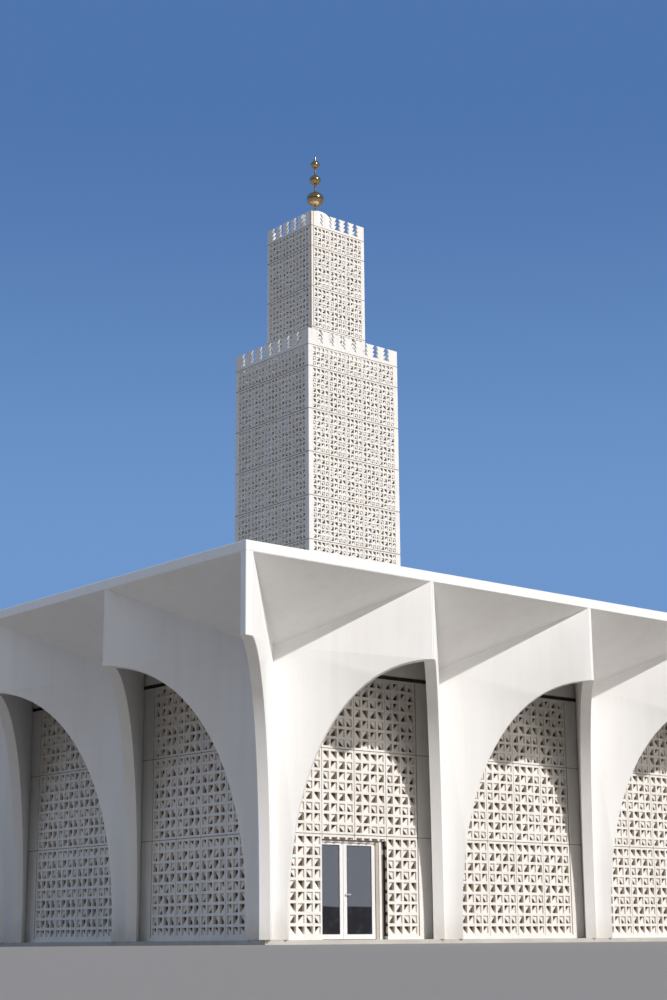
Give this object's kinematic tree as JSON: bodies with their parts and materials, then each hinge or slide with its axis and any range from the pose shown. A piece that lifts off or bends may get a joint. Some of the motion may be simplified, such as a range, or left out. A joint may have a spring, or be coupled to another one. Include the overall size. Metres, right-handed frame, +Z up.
{
  "type": "mosque building",
  "caption": "Flat-roofed prayer hall on zigzag arched concrete walls, with openwork screen walls, a double door and a two-tier openwork minaret with a small dome.",
  "frame": {"origin": "on the ground under the middle of the whole building, minaret included", "axes": "+Z up, the front with the door faces -Y, the minaret stands behind the hall at +Y and right of the middle"},
  "size_m": [32.4, 32.45, 36.03],
  "materials": {
    "white_concrete": "smooth white painted concrete",
    "openwork_precast": "matt white precast concrete",
    "floor_concrete": "plain concrete",
    "roof_covering": "fine pale gravel",
    "gold_metal": "polished",
    "white_metal": "white powder coat",
    "handle_steel": "brushed",
    "dark_panel": "matt dark",
    "door_glass": "clear, mirror-like from outside"
  },
  "bodies": {
    "building": {"floor_slab": "floor_concrete", "pier_corner_front_left": "white_concrete", "pier_corner_front_right": "white_concrete", "pier_corner_back_right": "white_concrete", "pier_corner_back_left": "white_concrete", "pier_front_1": "white_concrete", "pier_front_2": "white_concrete", "pier_front_3": "white_concrete", "pier_front_4": "white_concrete", "pier_back_1": "white_concrete", "pier_back_2": "white_concrete", "pier_back_3": "white_concrete", "pier_back_4": "white_concrete", "pier_left_1": "white_concrete", "pier_left_2": "white_concrete", "pier_left_3": "white_concrete", "pier_right_1": "white_concrete", "pier_right_2": "white_concrete", "pier_right_3": "white_concrete", "screen_front_left": "openwork_precast", "screen_front_over_door": "openwork_precast", "screen_front_right": "openwork_precast", "screen_back": "openwork_precast", "screen_left": "openwork_precast", "screen_right": "openwork_precast", "upper_wall_front": "white_concrete", "upper_wall_back": "white_concrete", "upper_wall_left": "white_concrete", "upper_wall_right": "white_concrete", "roof_slab": "white_concrete", "roof_covering": "roof_covering", "door_frame": "white_metal", "door_side_panel": "dark_panel", "minaret_lower_front": "openwork_precast", "minaret_lower_back": "openwork_precast", "minaret_lower_left": "openwork_precast", "minaret_lower_right": "openwork_precast", "minaret_lower_deck": "white_concrete", "minaret_upper_front": "openwork_precast", "minaret_upper_back": "openwork_precast", "minaret_upper_left": "openwork_precast", "minaret_upper_right": "openwork_precast", "minaret_upper_deck": "white_concrete", "minaret_dome": "white_concrete", "minaret_finial": "gold_metal"},
    "left_leaf": {"door_left_frame": "white_metal", "door_left_glass": "door_glass"},
    "right_leaf": {"door_right_frame": "white_metal", "door_right_glass": "door_glass", "door_right_handle": "handle_steel"}
  },
  "joints": [
    {"name": "left_leaf_hinge", "type": "hinge", "parent": "building", "child": "left_leaf", "pos_m": [-11.996, -13.2375, 1.18], "axis": [0, 0, 1], "range_deg": [0, 90]},
    {"name": "right_leaf_hinge", "type": "hinge", "parent": "building", "child": "right_leaf", "pos_m": [-10.083, -13.2375, 1.18], "axis": [0, 0, -1], "range_deg": [0, 90]}
  ]
}
